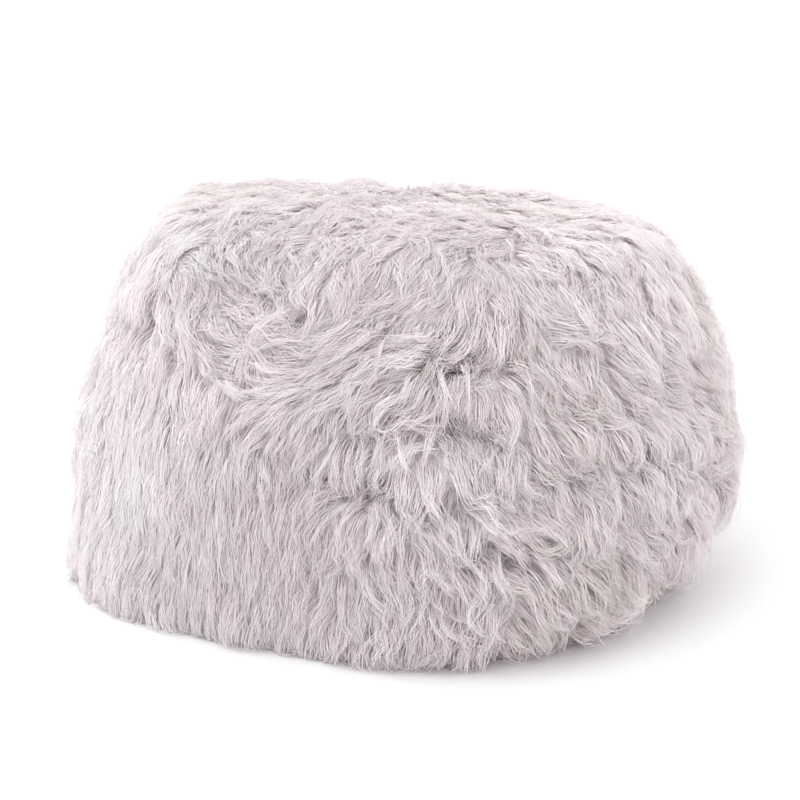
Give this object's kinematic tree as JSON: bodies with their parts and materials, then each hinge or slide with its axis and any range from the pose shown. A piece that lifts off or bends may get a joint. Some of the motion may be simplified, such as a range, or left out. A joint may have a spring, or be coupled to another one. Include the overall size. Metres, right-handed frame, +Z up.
{
  "type": "bean bag chair",
  "caption": "Round slouching bean bag chair with a long-pile fur cover, inner liner, zips under the base and bead filling.",
  "frame": {"origin": "on the floor, at the middle of the bag's bounding box", "axes": "+Z up, -Y the front as seen in the picture, +X the right side as seen in the picture; the zips run along X under the base"},
  "size_m": [0.9515, 0.9024, 0.5422],
  "materials": {
    "pile_fur": "long-pile fur, pale blush grey, curly locks with darker gaps",
    "base_cloth": "plain woven polyester, warm grey, matte",
    "liner_cloth": "plain woven polyester, undyed off-white",
    "foam_beads": "expanded polystyrene beads, white",
    "cover_zip_tape": "woven zip tape, warm grey",
    "cover_zip_nylon": "moulded nylon, warm grey",
    "slider_metal": "nickel-plated zinc, satin",
    "liner_zip_tape": "woven zip tape, off-white",
    "liner_zip_nylon": "moulded nylon, off-white",
    "liner_slider_metal": "off-white enamelled zinc",
    "label_satin": "white satin ribbon, blank"
  },
  "bodies": {
    "bag": {"fur_side_panel_1": "pile_fur", "fur_side_panel_2": "pile_fur", "fur_side_panel_3": "pile_fur", "fur_side_panel_4": "pile_fur", "fur_top_panel": "pile_fur", "base_panel_front": "base_cloth", "base_panel_back": "base_cloth", "liner_side_panel_1": "liner_cloth", "liner_side_panel_2": "liner_cloth", "liner_side_panel_3": "liner_cloth", "liner_side_panel_4": "liner_cloth", "liner_top_panel": "liner_cloth", "liner_base_front": "liner_cloth", "liner_base_back": "liner_cloth", "bead_filling": "foam_beads", "cover_zip_tape_front": "cover_zip_tape", "cover_zip_tape_back": "cover_zip_tape", "cover_zip_teeth_front": "cover_zip_nylon", "cover_zip_teeth_back": "cover_zip_nylon", "cover_zip_end_stops": "cover_zip_nylon", "cover_zip_start_stop": "cover_zip_nylon", "liner_zip_tape_front": "liner_zip_tape", "liner_zip_tape_back": "liner_zip_tape", "liner_zip_teeth_front": "liner_zip_nylon", "liner_zip_teeth_back": "liner_zip_nylon", "liner_zip_end_stops": "liner_zip_nylon", "liner_zip_start_stop": "liner_zip_nylon", "care_label": "label_satin"},
    "cover_slider": {"cover_zip_slider": "slider_metal"},
    "cover_pull": {"cover_zip_pull": "slider_metal"},
    "liner_slider": {"liner_zip_slider": "liner_slider_metal"}
  },
  "joints": [
    {"name": "cover_zip_slide", "type": "slide", "parent": "bag", "child": "cover_slider", "axis": [-1, 0, 0], "range_m": [0, 0.475], "deforming": ["cover_zip_teeth_front", "cover_zip_teeth_back"]},
    {"name": "cover_pull_swing", "type": "hinge", "parent": "cover_slider", "child": "cover_pull", "pos_m": [0.236, 0, 0.00825], "axis": [0, -1, 0], "range_deg": [0, 170]},
    {"name": "liner_zip_slide", "type": "slide", "parent": "bag", "child": "liner_slider", "axis": [-1, 0, 0], "range_m": [0, 0.505], "deforming": ["liner_zip_teeth_front", "liner_zip_teeth_back"]}
  ]
}
